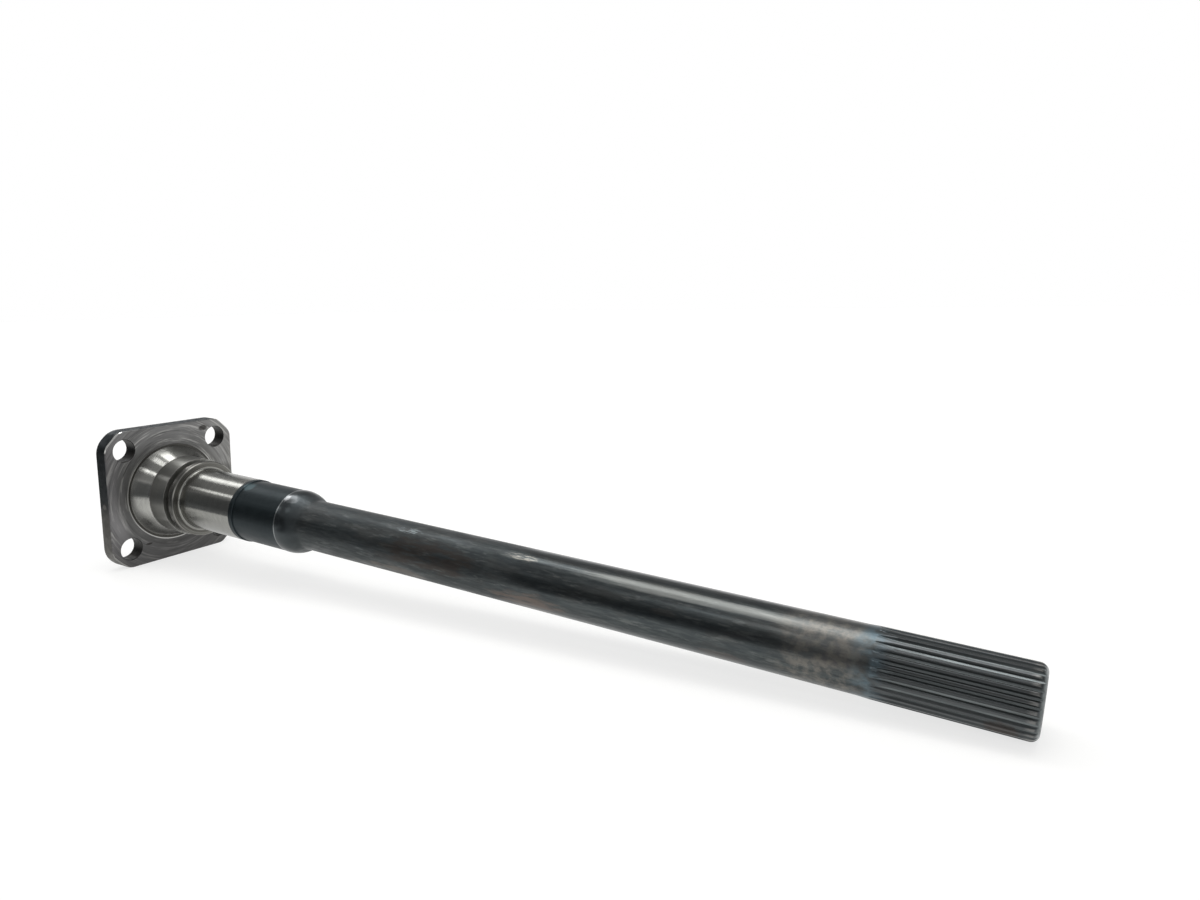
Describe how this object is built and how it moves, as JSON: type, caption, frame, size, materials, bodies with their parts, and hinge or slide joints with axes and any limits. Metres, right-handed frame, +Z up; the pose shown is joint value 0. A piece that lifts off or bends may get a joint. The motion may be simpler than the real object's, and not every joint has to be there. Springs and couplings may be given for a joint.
{
  "type": "flanged axle shaft",
  "caption": "Flanged axle shaft: square bolt flange, tapered boss, ground bearing journal, long plain shaft and a splined end.",
  "frame": {"origin": "on the shaft's axis, in the plane of the flange's outer face, where the hub seats", "axes": "+X along the shaft from the flange to the spline end, +Z up, the flange's flat sides parallel to Y and Z"},
  "size_m": [0.613, 0.104, 0.104],
  "materials": {
    "steel": "turned and ground bright at the flange end, dark heat-treated skin on the rest of the shaft"
  },
  "bodies": {
    "root": {"axle_shaft": "steel"}
  },
  "joints": []
}
